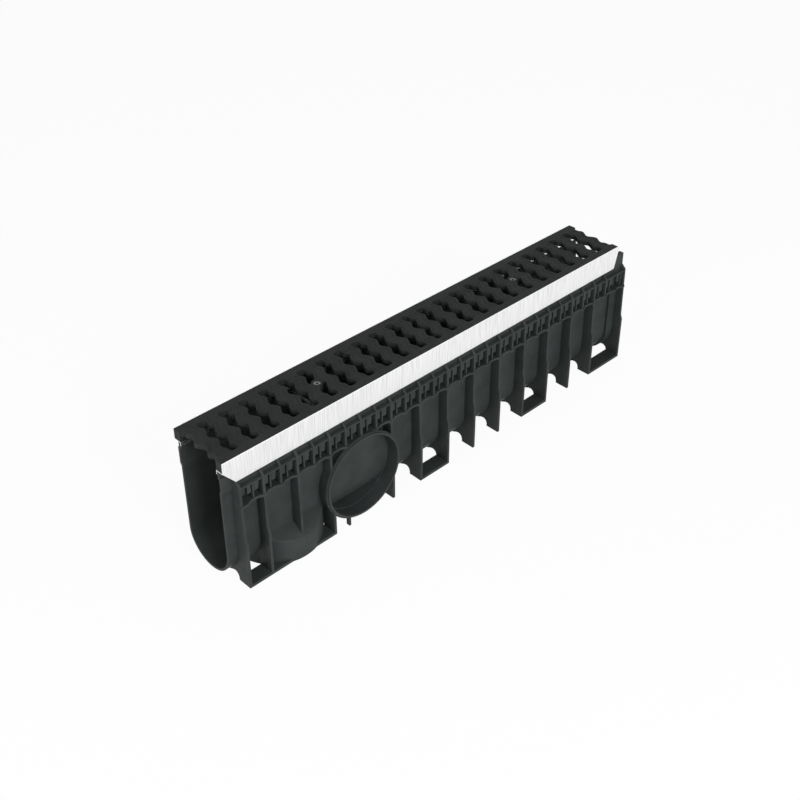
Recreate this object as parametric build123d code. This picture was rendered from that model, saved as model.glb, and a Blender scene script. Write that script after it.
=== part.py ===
"""A one metre line drainage channel unit: a ribbed plastic trough with outlet stubs,
two folded steel edge rails and two slotted grates that are bolted down.

X runs along the channel, Y across it and Z up. The origin is at the centre of the
unit's footprint, on the ground that the feet stand on.
"""
from build123d import *
import os
from math import cos, radians, sin

os.makedirs("parts", exist_ok=True)

# Overall sizes
unit_length = 1000.0      # laying length, outer face to outer face of the end plates
tongue_reach = 20.0       # how far the trough's end stands out into the next unit
overall_height = 271.0
overall_width = 160.0     # over the feet

# Trough
clear_width = 100.0
trough_wall = 4.5
trough_axis_depth = 206.0     # from the top of the unit to the axis of the round bottom
bead_depth = 38.0             # under edge of the wall's upper bead, which the lock bars grip
recess_depth = 62.0           # bottom of the recess under the bead
recess_offset = 3.0           # how far the recess stands back from the wall
recess_slope = 2.0            # drop of the recess's lower edge for each millimetre inwards
floor_clearance = 0.5         # between a tongue and the socket that it enters
socket_depth = 21.0

# Edge rails
rail_sheet = 1.5
rail_top_width = 134.0        # over both rails
rail_flange_drop = 46.0
rail_fit = 0.5                # between the rail and the head of the moulding
seat_depth = 20.0             # top of the rail to the seat
lip_drop = 8.0
left_chamfer_start = 20.0     # how far down the rail's left end stays square
left_chamfer_run = 22.0
right_chamfer_run = 12.0

# Grates
grate_gap = 0.5               # side and end play of a grate
bar_depth = 10.0
slot_count = 11
slot_pitch = 42.0
slot_width = 17.0
slot_length = 96.5
slot_corner = 3.0
bend_spacing = 18.0           # across the grate, from one bend of a slot to the next
bend_reach = 5.3              # sideways reach of a bend's corner before it is cut flat
bend_flat = 2.6               # how far each bend's corner is cut back along its flanks
lock_web_offset = 25.5        # webs under the bars on both sides of a bolt
lock_web_thickness = 4.0

# Ribs and head of the moulding
rib_pitch = 71.0
rib_count = 13
rib_thickness = 5.0
first_rib_offset = 49.5       # from the left end plate's outer face to the first rib's middle
half_rib_thickness = 4.0
end_plate_thickness = 5.0
upper_rib_width = 153.0       # over the ribs just above their step
head_rib_width = 149.0        # over the ribs at the top of the head
rib_shoulder_height = 9.0
rib_step_depth = 166.0
rib_step_height = 10.0
head_wall = 3.0
skirt_depth = 80.0
shelf_depth = 58.0
shelf_width = 148.0
shelf_thickness = 3.0
panel_width = 141.0
panel_margin = 2.0            # groove beside a rib or stiffener
panel_gap = 6.0               # wide groove on the left of each rib
stiffener_thickness = 2.5
stiffener_width = 145.0
stiffener_offset = 14.0       # from the middle of the rib on its left
stiffener_depth = 90.0
ledge_depth = 94.0
ledge_thickness = 5.0
ledge_scallop = 5.0
ledge_swing = 0.3             # share of the way between two ribs in which the ledge swings in

# Feet
foot_width = 29.5             # across the channel
foot_thickness = 6.0
arch_side = 5.75              # height of a foot's upright inner face, below its round corner
arch_radius = 10.0
arch_turn = 115.0             # degrees from that face round to the rib's sloping under edge
arch_flats = 3                # flats that the round corner is made of
collar_half = 26.0            # half width of the level part of the rib's under edge
collar_clearance = 10.0       # from the ground to that part
foot_pairs = ((-1, 2), (5, 6), (9, 10), (12, 13))   # ribs joined by a sole, -1 and 13 are the end plates

# Outlets
pipe_size = 160.0             # outer diameter of the pipes that the outlets take
pipe_fit = 0.5
outlet_wall = 4.0
pipe_stop = 2.0               # how far the stop behind a pipe's end stands in
side_outlet_rib = 3          # rib that the side outlets are centred on
side_outlet_depth = 177.0
side_outlet_reach = 80.5      # from the middle of the channel to the rim
side_outlet_root = 12.0
rim_bead = 2.5                # how far the rim's bead stands out
rim_bead_width = 4.0
rim_bead_setback = 3.0
relief_half = 55.0            # half the length that stays free of feet under a side outlet
fin_offset = -37.0            # support fin under the side outlet, from the outlet's axis
fin_depth = 8.0
base_outlet_rib = 1           # rib that the base outlet is centred on
shoulder_depth = 207.0        # where the base outlet's shoulder meets the trough wall
shoulder_slope = 0.7
shoulder_edge = 2.5           # bevel round the shoulder's edge

# Locks
bolt_thread = 8.0
bolt_hole = 8.5
bolt_head = 13.0
bolt_head_height = 8.0
bolt_socket = 6.0
bolt_head_recess = 2.0
bolt_length = 42.0
boss_diameter = 20.0
lock_bar_width = 28.0
lock_bar_thickness = 5.0
lock_bar_play = 0.5           # between the bar's ends and the recess
nut_across = 13.0
nut_height = 6.5

# Derived places
left_face = tongue_reach / 2 - unit_length / 2      # outer face of the left end plate
right_face = left_face + unit_length
tongue_end = left_face - tongue_reach
trough_half = clear_width / 2
trough_outer = trough_half + trough_wall
axis_z = overall_height - trough_axis_depth
rail_half = rail_top_width / 2
seat_z = overall_height - seat_depth
head_top = seat_z - rail_sheet
head_half = rail_half - rail_sheet - rail_fit
lip_half = trough_half - rail_fit - rail_sheet
foot_half = overall_width / 2
foot_inner_half = foot_half - foot_width
upper_rib_half = upper_rib_width / 2
head_rib_half = head_rib_width / 2
rib_top = overall_height - rail_flange_drop - rail_fit
grate_half = rail_half - 2 * rail_sheet - grate_gap
grate_length = unit_length / 2 - grate_gap
lock_bar_top = overall_height - bead_depth
lock_bar_half = trough_half + recess_offset - lock_bar_play
outlet_inner = (pipe_size + pipe_fit) / 2
outlet_outer = outlet_inner + outlet_wall
side_outlet_z = overall_height - side_outlet_depth
base_socket_top = axis_z - trough_outer - floor_clearance      # the base outlet's pipe stop


def block(x0, x1, y0, y1, z0, z1):
    """Box between two corners."""
    return Pos(x0, y0, z0) * Box(x1 - x0, y1 - y0, z1 - z0, align=(Align.MIN, Align.MIN, Align.MIN))


def across(outline, x0, thickness):
    """Plate that stands across the channel, from its outline in Y and Z."""
    return extrude(Plane.YZ.offset(x0) * outline, thickness)


def polygon(points):
    return make_face(Polyline(*points, close=True))


def rib_x(index):
    """Middle of a rib, counted from 0; a half count lies midway between two ribs."""
    return left_face + first_rib_offset + index * rib_pitch


def trough_solid(gap, x0, x1, top):
    """Bar that stands off the trough's inside by a gap: round bottom, straight walls, recess."""
    half = trough_half + gap
    recess_half = half + recess_offset
    bead_z = overall_height - bead_depth + gap
    recess_z = overall_height - recess_depth - gap
    wall = [
        (half, axis_z),
        (half, recess_z - recess_slope * recess_offset),
        (recess_half, recess_z),
        (recess_half, bead_z),
        (half, bead_z),
        (half, top),
    ]
    opposite = [(-y, z) for y, z in reversed(wall)]
    outline = polygon(wall + opposite) + Pos(0, axis_z) * Circle(half)
    return across(outline, x0, x1 - x0)


def arch_points():
    """Round corner between a foot and the rib's under edge, from the middle outwards."""
    points = []
    for step in range(arch_flats, -1, -1):
        angle = radians(arch_turn * step / arch_flats)
        y = foot_inner_half - arch_radius * (1 - cos(angle))
        points.append((y, arch_side + arch_radius * sin(angle)))
    return points


def rib_plate(x0, thickness, low_half):
    """One side's full height rib, from the head down to the ground, on the middle of the channel."""
    step_top = overall_height - rib_step_depth
    outline = polygon([
        (0, collar_clearance),
        (collar_half, collar_clearance),
        *arch_points(),
        (foot_inner_half, 0),
        (low_half, 0),
        (low_half, step_top - rib_step_height),
        (upper_rib_half, step_top),
        (head_rib_half, rib_top - rib_shoulder_height),
        (head_half, rib_top),
        (0, rib_top),
    ])
    return across(outline, x0, thickness)


def half_rib(x0):
    """Short rib between two full ribs, in the head only."""
    outline = polygon([
        (trough_outer, overall_height - ledge_depth),
        (trough_outer, rib_top),
        (head_half, rib_top),
        (head_rib_half, rib_top - rib_shoulder_height),
        (head_rib_half, overall_height - ledge_depth),
    ])
    return across(outline, x0, half_rib_thickness)


def head_cell(index):
    """Stiffener and raised panels between a rib, full or half, and the next one to the right."""
    wall = head_half - head_wall
    shelf_z = overall_height - shelf_depth
    panel_z = overall_height - skirt_depth
    left = rib_x(index) + rib_thickness / 2 + panel_margin
    stiffener = rib_x(index) + stiffener_offset
    stiffener_end = stiffener + stiffener_thickness
    right = rib_x(index + 0.5) - rib_thickness / 2 - panel_gap
    return [
        block(left, stiffener - panel_margin, wall, panel_width / 2, panel_z, shelf_z),
        block(stiffener, stiffener_end, wall, stiffener_width / 2,
              overall_height - stiffener_depth, shelf_z),
        block(stiffener_end + panel_margin, right, wall, panel_width / 2, panel_z, shelf_z),
    ]


def ledge():
    """Scalloped ledge under the head: it swings in between the ribs."""
    swung_in = upper_rib_half - ledge_scallop
    stations = [rib_x(index / 2) for index in range(-1, 2 * rib_count + 1)]
    stations.append(right_face - end_plate_thickness)
    edge = [(left_face, upper_rib_half)]
    for start, end in zip(stations, stations[1:]):
        swing = ledge_swing * (end - start)
        edge += [(start, upper_rib_half), (start + swing, swung_in), (end - swing, swung_in)]
    edge += [(stations[-1], upper_rib_half), (right_face, upper_rib_half)]
    outline = polygon([(left_face, trough_outer), *edge, (right_face, trough_outer)])
    return Pos(0, 0, overall_height - ledge_depth - ledge_thickness) * extrude(outline, ledge_thickness)


def side_details():
    """Everything outside the trough on the +Y side but the outlets, as a list of solids."""
    wall = head_half - head_wall
    shelf_z = overall_height - shelf_depth
    solids = [
        # flange that the rail's seat lies on, the skirt behind the rail, and the shelf on it
        block(left_face, right_face, trough_half, head_half, head_top - trough_wall, head_top),
        block(left_face, right_face, wall, head_half, overall_height - skirt_depth, head_top),
        block(left_face, right_face, wall, shelf_width / 2, shelf_z - shelf_thickness, shelf_z),
        ledge(),
        rib_plate(left_face, end_plate_thickness, foot_half),
        rib_plate(right_face - end_plate_thickness, end_plate_thickness, foot_half),
    ]
    for index in range(rib_count):
        low_half = upper_rib_half if index == base_outlet_rib else foot_half
        solids.append(rib_plate(rib_x(index) - rib_thickness / 2, rib_thickness, low_half))
        solids.append(half_rib(rib_x(index + 0.5) - half_rib_thickness / 2))
    for index in range(-1, 2 * rib_count + 1):
        solids += head_cell(index / 2)
    for first, last in foot_pairs:
        x0 = left_face if first < 0 else rib_x(first) - rib_thickness / 2
        x1 = right_face if last >= rib_count else rib_x(last) + rib_thickness / 2
        solids.append(block(x0, x1, foot_inner_half, foot_half, 0, foot_thickness))
    return solids


def side_outlet(radius, start, end):
    """Cylinder along the +Y side outlet's axis, between two places across the channel."""
    return Plane((rib_x(side_outlet_rib), start, side_outlet_z), z_dir=(0, 1, 0)) * Cylinder(
        radius, end - start, align=(Align.CENTER, Align.CENTER, Align.MIN)
    )


def add_side_outlet(side):
    """Side with a closed stub for a pipe, its rim bead, its pipe stop and its support fin."""
    x = rib_x(side_outlet_rib)
    bead_end = side_outlet_reach - rim_bead_setback
    fin_x = x + fin_offset - half_rib_thickness / 2
    side -= block(x - relief_half, x + relief_half, foot_inner_half, foot_half, 0, side_outlet_z)
    side += [
        side_outlet(outlet_outer, side_outlet_root, side_outlet_reach),
        side_outlet(outlet_outer + rim_bead, bead_end - rim_bead_width, bead_end),
        block(fin_x, fin_x + half_rib_thickness, foot_half - fin_depth, foot_half, 0, axis_z / 2),
    ]
    side -= side_outlet(outlet_inner - pipe_stop, side_outlet_root - outlet_wall, trough_outer)
    return side - side_outlet(outlet_inner, trough_outer, side_outlet_reach)


def base_outlet_solid(radius, drop):
    """Upright cylinder with a shoulder that slopes down to each side of the trough."""
    shoulder_z = overall_height - shoulder_depth - drop
    low_z = shoulder_z - shoulder_slope * (radius - trough_outer)
    roof = polygon([
        (-radius, -drop), (-radius, low_z), (-trough_outer, shoulder_z),
        (trough_outer, shoulder_z), (radius, low_z), (radius, -drop),
    ])
    x = rib_x(base_outlet_rib)
    stub = Pos(x, 0, -drop) * Cylinder(
        radius, overall_height / 2, align=(Align.CENTER, Align.CENTER, Align.MIN)
    )
    return stub & across(roof, x - radius, 2 * radius)


def make_channel_body():
    side = add_side_outlet(Part() + side_details())
    body = side + mirror(side, about=Plane.XZ)
    base_outlet = base_outlet_solid(outlet_outer, 0)
    shoulder_edges = base_outlet.edges().filter_by(GeomType.ELLIPSE)
    body += chamfer(shoulder_edges, shoulder_edge)
    body -= base_outlet_solid(outlet_inner - pipe_stop, outlet_wall)
    body -= Pos(rib_x(base_outlet_rib), 0, 0) * Cylinder(outlet_inner, 2 * base_socket_top)
    socket_start = right_face - socket_depth
    socket_gap = trough_wall + floor_clearance
    body += [
        trough_solid(trough_wall, tongue_end, right_face, head_top),
        trough_solid(socket_gap + trough_wall, socket_start - trough_wall, right_face, head_top),
    ]
    body -= trough_solid(0, tongue_end, right_face, overall_height)
    body -= trough_solid(socket_gap, socket_start, right_face, overall_height)
    return body


def make_edge_rail():
    """Folded rail on the +Y side: lip, seat, inner wall, hem and outer flange."""
    outer = rail_half
    top = overall_height
    under = head_top
    profile = polygon([
        (outer, top - rail_flange_drop),
        (outer, top),
        (outer - 2 * rail_sheet, top),
        (outer - 2 * rail_sheet, seat_z),
        (lip_half, seat_z),
        (lip_half, seat_z - lip_drop),
        (lip_half + rail_sheet, seat_z - lip_drop),
        (lip_half + rail_sheet, under),
        (outer - rail_sheet, under),
        (outer - rail_sheet, top - rail_flange_drop),
    ])
    right_end = tongue_end + unit_length
    flange_z = top - rail_flange_drop
    left_cut = polygon([
        (tongue_end, top - left_chamfer_start),
        (tongue_end, flange_z),
        (tongue_end + left_chamfer_run, flange_z),
    ])
    right_cut = polygon([
        (right_end, top - rail_sheet),
        (right_end, flange_z),
        (right_end - right_chamfer_run, flange_z),
    ])
    cuts = extrude(Plane.XZ.offset(-outer) * (left_cut + right_cut), 2 * rail_sheet)
    return across(profile, tongue_end, unit_length) - cuts


def grate_centres():
    return [tongue_end + unit_length * share for share in (0.25, 0.75)]


def slot_face(x):
    """Wavy slot across the grate, centred at x, with flattened bends and corners."""
    end = slot_length / 2
    middle = [
        (0, -end), (0, -2 * bend_spacing), (-bend_reach, -1.5 * bend_spacing),
        (bend_reach, -0.5 * bend_spacing), (-bend_reach, 0.5 * bend_spacing),
        (bend_reach, 1.5 * bend_spacing), (0, 2 * bend_spacing), (0, end),
    ]
    right = [(x + dx + slot_width / 2, y) for dx, y in middle]
    left = [(x + dx - slot_width / 2, y) for dx, y in reversed(middle)]
    slot = polygon(right + left)
    bends = slot.vertices().group_by(Axis.Y)[2:-2]
    slot = chamfer([vertex for row in bends for vertex in row], bend_flat)
    rows = slot.vertices().group_by(Axis.Y)
    return chamfer(rows[0] + rows[-1], slot_corner)


def make_grate(centre):
    """Grate with wavy bars between deep side frames, and a boss for the bolt."""
    end = slot_length / 2
    half = grate_length / 2
    plate = Rectangle(grate_length, 2 * grate_half)
    for index in range(-1, slot_count + 1):
        plate -= slot_face((index - (slot_count - 1) / 2) * slot_pitch)
    grate = Pos(0, 0, seat_depth - bar_depth) * extrude(plate, bar_depth)
    grate += [
        block(-half, half, -grate_half, -end, 0, seat_depth),
        block(-half, half, end, grate_half, 0, seat_depth),
        Cylinder(boss_diameter / 2, seat_depth, align=(Align.CENTER, Align.CENTER, Align.MIN)),
    ]
    for web_x in (-lock_web_offset, lock_web_offset):
        x0 = web_x - lock_web_thickness / 2
        grate += block(x0, x0 + lock_web_thickness, -end, end, 0, seat_depth - bar_depth / 2)
    grate -= Cylinder(bolt_hole / 2, 2 * seat_depth)
    counterbore = Cylinder((bolt_head + grate_gap) / 2, bolt_head_height + bolt_head_recess,
                           align=(Align.CENTER, Align.CENTER, Align.MAX))
    grate -= Pos(0, 0, seat_depth) * counterbore
    return Pos(centre, 0, seat_z) * grate


def make_lock_bolt(centre):
    head_z = overall_height - bolt_head_recess
    head = Cylinder(bolt_head / 2, bolt_head_height, align=(Align.CENTER, Align.CENTER, Align.MAX))
    shank = Cylinder(bolt_thread / 2, bolt_head_height + bolt_length,
                     align=(Align.CENTER, Align.CENTER, Align.MAX))
    drive = extrude(RegularPolygon(bolt_socket / 2, 6, major_radius=False), -bolt_head_height / 2)
    return Pos(centre, 0, head_z) * (head + shank - drive)


def make_lock_bar(centre):
    """Bar under the grate whose ends grip the bead from below."""
    half = lock_bar_width / 2
    bar = block(-half, half, -lock_bar_half, lock_bar_half, -lock_bar_thickness, 0)
    return Pos(centre, 0, lock_bar_top) * (bar - Cylinder(bolt_hole / 2, 3 * lock_bar_thickness))


def make_lock_nut(centre):
    nut = extrude(RegularPolygon(nut_across / 2, 6, major_radius=False), -nut_height)
    nut -= Cylinder(bolt_thread / 2, 3 * nut_height)
    return Pos(centre, 0, lock_bar_top - lock_bar_thickness) * nut


rail = make_edge_rail()
nodes = {
    "channel_body": make_channel_body(),
    "edge_rail_near": mirror(rail, about=Plane.XZ),
    "edge_rail_far": rail,
}
for number, centre in enumerate(grate_centres(), start=1):
    nodes[f"grate_{number}"] = make_grate(centre)
    nodes[f"lock_bolt_{number}"] = make_lock_bolt(centre)
    nodes[f"lock_bar_{number}"] = make_lock_bar(centre)
    nodes[f"lock_nut_{number}"] = make_lock_nut(centre)

for name, shape in nodes.items():
    export_step(shape, f"parts/{name}.step")
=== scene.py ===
from math import radians

import bpy
from mathutils import Euler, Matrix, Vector


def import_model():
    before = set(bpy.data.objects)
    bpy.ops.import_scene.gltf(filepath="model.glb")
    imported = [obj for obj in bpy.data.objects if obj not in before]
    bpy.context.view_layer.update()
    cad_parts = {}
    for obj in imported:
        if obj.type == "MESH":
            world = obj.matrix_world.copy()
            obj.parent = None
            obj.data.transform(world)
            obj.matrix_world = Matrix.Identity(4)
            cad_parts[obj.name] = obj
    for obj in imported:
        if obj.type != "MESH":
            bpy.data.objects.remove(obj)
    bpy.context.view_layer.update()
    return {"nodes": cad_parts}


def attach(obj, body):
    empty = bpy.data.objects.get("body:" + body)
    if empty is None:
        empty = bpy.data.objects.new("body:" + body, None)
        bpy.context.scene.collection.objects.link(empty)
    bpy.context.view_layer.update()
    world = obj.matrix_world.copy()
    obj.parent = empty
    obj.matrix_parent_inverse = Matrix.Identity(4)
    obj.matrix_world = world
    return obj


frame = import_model()
nodes = frame["nodes"]

# Camera, found from the photograph's vanishing points
CAMERA_PLACE = (-1.3071, -1.3044, 1.4595)
CAMERA_AZIMUTH = -44.093
CAMERA_ELEVATION = 34.078           # how far it looks down
CAMERA_LENS = 53.951                # in millimetres, as the sensor
CAMERA_SENSOR = 36.0
CAMERA_REACH = 50.0
IMAGE_SIZE = 800
AXIS_PIXEL = (408.133, 352.379)     # where the lens axis meets the photograph

# Dashes on the grates, in metres
BAR_COUNT = 12                      # bars with dashes on one grate
SLOT_PITCH = 0.042
ROW_OFFSET = 0.0066                 # from a bar's middle to each row of dashes
DASH_FOOT = 0.0030                  # width at the bar
DASH_TOP = DASH_FOOT / 2            # width of the flat top
DASH_RISE = 0.0009
DASH_SINK = DASH_RISE / 2           # how far the foot reaches into the bar
DASH_START = 0.12                   # share of a leg of the wave that is free before a dash
DASH_END = 1 - DASH_START

# A bar's middle line across the grate, counted from the bar's own middle
BEND = 0.0053                       # how far it swings to each side
WAVE = ((0, -0.045), (0, -0.036), (-BEND, -0.027), (BEND, -0.009),
        (-BEND, 0.009), (BEND, 0.027), (0, 0.036), (0, 0.045))

# Colours and roughness, each from low to high
BODY_COLORS = ((0.033, 0.038, 0.037), (0.045, 0.051, 0.050))
BODY_ROUGHNESS = (0.42, 0.55)
GRATE_COLORS = ((0.022, 0.024, 0.024), (0.031, 0.033, 0.033))
GRATE_ROUGHNESS = (0.5, 0.62)
RAIL_GREYS = (0.66, 0.96)
RAIL_ROUGHNESS = (0.30, 0.42)
LOCK_GREYS = (0.22, 0.30)
LOCK_ROUGHNESS = (0.45, 0.60)
PLASTIC_SPECULAR = 0.06             # dull plastic mirrors its white surroundings only faintly
SPREAD = (0.3, 0.7)                 # noise values between which a colour or roughness changes
STREAK_SPREAD = (0.25, 0.58)        # the same for the greys of the rails' streaks

# Patterns and reliefs of the surfaces, in metres
EVEN = (1, 1, 1)
UPRIGHT = (1, 1, 0.02)              # draws a pattern out into upright streaks
CLOUD_SIZE = 0.045                  # cloudiness of the plastic's colour
SHEEN_SIZE = 0.012                  # duller and shinier patches of the plastic
SWELL_SIZE = 0.03                   # slow unevenness of the plastic's faces
SWELL_DEPTH = 0.0006
GRAIN_SIZE = 0.0011                 # fine eroded grain of the plastic
GRAIN_DEPTH = 0.00025
STREAK_SIZE = 0.0016                # brush streaks of the rails
MOTTLE_SIZE = 0.004                 # changes of grey on the locks
WEAR_SIZE = 0.002                   # duller and shinier patches of the locks
PLATING_SIZE = 0.0008               # grain of the locks' plating
STEEL_DEPTH = 0.0001                # relief of the rails and the locks

# Stage
FLOOR_HALF = 6.0
FLOOR_WHITE = 0.93
FLOOR_GLOW = 0.94                   # share of plain white in the floor, which leaves a faint shadow
FILL = 0.32                         # soft light from all sides
UNIT_MIDDLE = (0, 0, 0.1)
UNIT_LEFT = (-0.4, 0, 0.1)

# Lamps: place, what each is turned to, side in metres and power in watts
LAMPS = {
    "key": ((-0.6, -2.9, 1.6), UNIT_MIDDLE, 1.6, 72),
    "top": ((0.4, 0.6, 2.8), UNIT_MIDDLE, 2.0, 6),
    "trough_end": ((-2.2, -0.3, 0.9), UNIT_LEFT, 0.8, 14),
}


def place_in_scene(name, data):
    obj = bpy.data.objects.new(name, data)
    bpy.context.scene.collection.objects.link(obj)
    return obj


def camera():
    data = bpy.data.cameras.new("photo_camera")
    data.lens = CAMERA_LENS
    data.sensor_width = CAMERA_SENSOR
    data.shift_x = 0.5 - AXIS_PIXEL[0] / IMAGE_SIZE
    data.shift_y = AXIS_PIXEL[1] / IMAGE_SIZE - 0.5
    data.clip_end = CAMERA_REACH
    obj = place_in_scene("photo_camera", data)
    obj.location = CAMERA_PLACE
    obj.rotation_euler = Euler((radians(90 - CAMERA_ELEVATION), 0, radians(CAMERA_AZIMUTH)))
    bpy.context.scene.camera = obj


def new_material(name):
    material = bpy.data.materials.new(name)
    material.use_nodes = True
    tree = material.node_tree
    tree.nodes.clear()
    return material, tree


def add(tree, kind, **inputs):
    """Node of one kind with its sockets set by name."""
    node = tree.nodes.new(kind)
    for key, value in inputs.items():
        node.inputs[key.replace("_", " ")].default_value = value
    return node


def noise(tree, size, stretch=EVEN, detail=4.0, roughness=0.55):
    """Noise of a size in metres, in the object's own coordinates."""
    coordinates = add(tree, "ShaderNodeTexCoord")
    mapping = add(tree, "ShaderNodeMapping", Scale=stretch)
    node = add(tree, "ShaderNodeTexNoise", Scale=1 / size, Detail=detail, Roughness=roughness)
    tree.links.new(coordinates.outputs["Object"], mapping.inputs["Vector"])
    tree.links.new(mapping.outputs["Vector"], node.inputs["Vector"])
    return node.outputs["Fac"]


def rgba(value):
    """Opaque colour, from its three parts or from one grey."""
    parts = value if isinstance(value, tuple) else (value, value, value)
    return (*parts, 1)


def ramp(tree, fac, values, spread=SPREAD):
    """Colours or greys that run from the first value to the second."""
    node = add(tree, "ShaderNodeValToRGB")
    for element, place, value in zip(node.color_ramp.elements, spread, values):
        element.position = place
        element.color = rgba(value)
    tree.links.new(fac, node.inputs["Fac"])
    return node.outputs["Color"]


def bump(tree, height, strength, distance, under=None):
    """Relief, on top of another one if that is given."""
    node = add(tree, "ShaderNodeBump", Strength=strength, Distance=distance)
    tree.links.new(height, node.inputs["Height"])
    if under is not None:
        tree.links.new(under, node.inputs["Normal"])
    return node.outputs["Normal"]


def surface(tree, color, roughness, normal, metallic=0.0, specular=0.5):
    shader = add(tree, "ShaderNodeBsdfPrincipled", Metallic=metallic, Specular_IOR_Level=specular)
    tree.links.new(color, shader.inputs["Base Color"])
    tree.links.new(roughness, shader.inputs["Roughness"])
    tree.links.new(normal, shader.inputs["Normal"])
    output = add(tree, "ShaderNodeOutputMaterial")
    tree.links.new(shader.outputs["BSDF"], output.inputs["Surface"])


def moulded_plastic(name, colors, roughness):
    """Dark moulded plastic with faint cloudiness and a fine eroded grain."""
    material, tree = new_material(name)
    color = ramp(tree, noise(tree, CLOUD_SIZE, detail=3), colors)
    rough = ramp(tree, noise(tree, SHEEN_SIZE, detail=4), roughness)
    swell = bump(tree, noise(tree, SWELL_SIZE, detail=2), strength=0.3, distance=SWELL_DEPTH)
    grain = noise(tree, GRAIN_SIZE, detail=2)
    normal = bump(tree, grain, strength=0.25, distance=GRAIN_DEPTH, under=swell)
    surface(tree, color, rough, normal, specular=PLASTIC_SPECULAR)
    return material


def rail_steel(name):
    """Bright galvanised sheet with fine brush streaks that run up and down."""
    material, tree = new_material(name)
    streaks = noise(tree, STREAK_SIZE, UPRIGHT, detail=3, roughness=0.7)
    color = ramp(tree, streaks, RAIL_GREYS, STREAK_SPREAD)
    rough = ramp(tree, streaks, RAIL_ROUGHNESS)
    normal = bump(tree, streaks, strength=0.15, distance=STEEL_DEPTH)
    surface(tree, color, rough, normal, metallic=1.0)
    return material


def plated_steel(name):
    """Duller steel of the bars, bolts and nuts."""
    material, tree = new_material(name)
    color = ramp(tree, noise(tree, MOTTLE_SIZE), LOCK_GREYS)
    rough = ramp(tree, noise(tree, WEAR_SIZE), LOCK_ROUGHNESS)
    normal = bump(tree, noise(tree, PLATING_SIZE), strength=0.1, distance=STEEL_DEPTH)
    surface(tree, color, rough, normal, metallic=1.0)
    return material


def dress(names, material):
    for name in names:
        data = nodes[name].data
        data.materials.clear()
        data.materials.append(material)


def seen(tree):
    """1 on what the camera or a mirroring face sees, 0 on what only throws light."""
    path = add(tree, "ShaderNodeLightPath")
    node = add(tree, "ShaderNodeMath")
    node.operation = "MAXIMUM"
    tree.links.new(path.outputs["Is Camera Ray"], node.inputs[0])
    tree.links.new(path.outputs["Is Glossy Ray"], node.inputs[1])
    return node.outputs[0]


def mix(tree, share, first, second, output_kind):
    """Output of two shaders, with the share that the second one takes."""
    node = add(tree, "ShaderNodeMixShader")
    tree.links.new(share, node.inputs["Fac"])
    tree.links.new(first.outputs[0], node.inputs[1])
    tree.links.new(second.outputs[0], node.inputs[2])
    output = add(tree, output_kind)
    tree.links.new(node.outputs[0], output.inputs["Surface"])


def floor_material():
    """Pale floor that stays white behind the object and keeps its shadow."""
    material, tree = new_material("floor_white")
    share = add(tree, "ShaderNodeMath")
    share.operation = "MULTIPLY"
    share.inputs[1].default_value = FLOOR_GLOW
    tree.links.new(seen(tree), share.inputs[0])
    diffuse = add(tree, "ShaderNodeBsdfDiffuse", Color=rgba(FLOOR_WHITE))
    glow = add(tree, "ShaderNodeEmission", Color=rgba(1), Strength=1.0)
    mix(tree, share.outputs[0], diffuse, glow, "ShaderNodeOutputMaterial")
    return material


def stage():
    mesh = bpy.data.meshes.new("floor")
    low = -FLOOR_HALF
    high = FLOOR_HALF
    corners = [(low, low, 0), (high, low, 0), (high, high, 0), (low, high, 0)]
    mesh.from_pydata(corners, [], [(0, 1, 2, 3)])
    mesh.materials.append(floor_material())
    floor = place_in_scene("floor", mesh)


def world():
    """White surroundings for the camera and for reflections, soft fill for the rest."""
    studio = bpy.data.worlds.new("studio")
    bpy.context.scene.world = studio
    studio.use_nodes = True
    tree = studio.node_tree
    tree.nodes.clear()
    fill = add(tree, "ShaderNodeBackground", Color=rgba(1), Strength=FILL)
    white = add(tree, "ShaderNodeBackground", Color=rgba(1), Strength=1.0)
    mix(tree, seen(tree), fill, white, "ShaderNodeOutputWorld")


def lamp(name, place, target, size, power):
    data = bpy.data.lights.new(name, "AREA")
    data.shape = "SQUARE"
    data.size = size
    data.energy = power
    obj = place_in_scene(name, data)
    obj.location = place
    obj.rotation_euler = (Vector(target) - Vector(place)).to_track_quat("-Z", "Y").to_euler()


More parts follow.
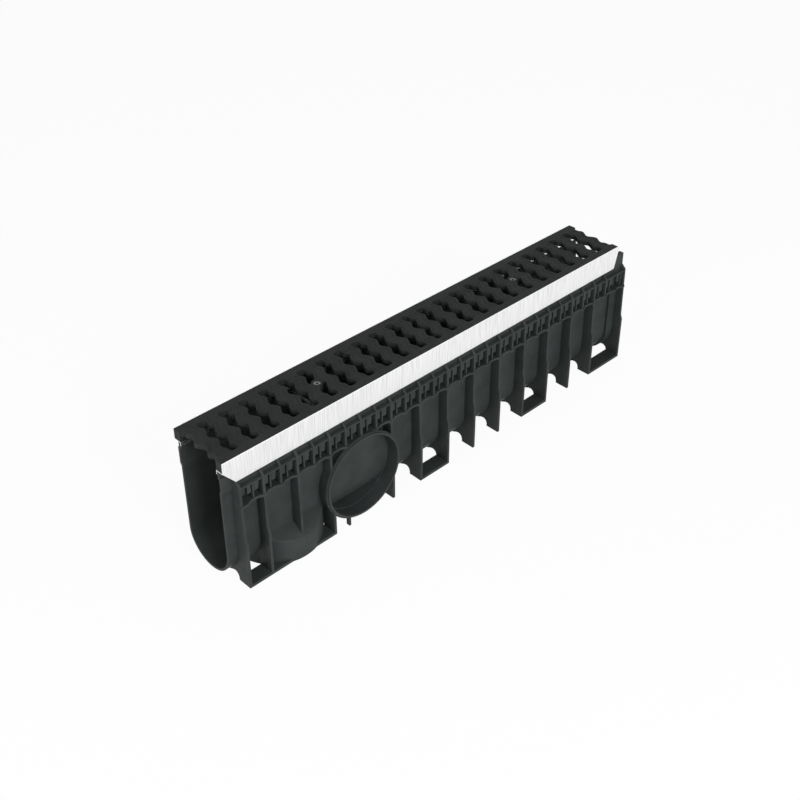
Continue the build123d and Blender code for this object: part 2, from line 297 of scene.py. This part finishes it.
def add_dash(points, faces, start, leg):
    """Raised dash along one leg of a bar's wave, open below where it is sunk into the bar."""
    side = Vector((leg.y, -leg.x, 0)).normalized()
    first = len(points)
    for width, height in ((DASH_FOOT, -DASH_SINK), (DASH_TOP, DASH_RISE)):
        for share, turn in ((DASH_START, -1), (DASH_START, 1), (DASH_END, 1), (DASH_END, -1)):
            points.append(start + share * leg + turn * width / 2 * side + Vector((0, 0, height)))
    faces.append([first + 4, first + 5, first + 6, first + 7])
    for corner in range(4):
        following = (corner + 1) % 4
        faces.append([first + corner, first + following, first + following + 4, first + corner + 4])


def grate_dashes(name, material):
    """Two rows of dashes on each bar of a grate, which follow the slots' bends."""
    corners = [nodes[name].matrix_world @ Vector(corner) for corner in nodes[name].bound_box]
    centre = sum(corner.x for corner in corners) / len(corners)
    top = max(corner.z for corner in corners)
    points = []
    faces = []
    for bar in range(BAR_COUNT):
        for row in (-ROW_OFFSET, ROW_OFFSET):
            x = centre + (bar - (BAR_COUNT - 1) / 2) * SLOT_PITCH + row
            for (x0, y0), (x1, y1) in zip(WAVE, WAVE[1:]):
                add_dash(points, faces, Vector((x + x0, y0, top)), Vector((x1 - x0, y1 - y0, 0)))
    mesh = bpy.data.meshes.new(f"{name}_dashes")
    mesh.from_pydata(points, [], faces)
    mesh.validate()
    mesh.materials.append(material)
    piece = place_in_scene(f"{name}_dashes", mesh)
    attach(piece, "root")


camera()
stage()
world()
for lamp_name, settings in LAMPS.items():
    lamp(lamp_name, *settings)

grate_plastic = moulded_plastic("grate_plastic", GRATE_COLORS, GRATE_ROUGHNESS)
dress(["channel_body"], moulded_plastic("body_plastic", BODY_COLORS, BODY_ROUGHNESS))
for grate_name in ("grate_1", "grate_2"):
    dress([grate_name], grate_plastic)
    grate_dashes(grate_name, grate_plastic)
dress(["edge_rail_near", "edge_rail_far"], rail_steel("rail_steel"))
dress([name for name in nodes if name.startswith("lock_")], plated_steel("lock_steel"))

bpy.context.scene.view_settings.view_transform = "Standard"
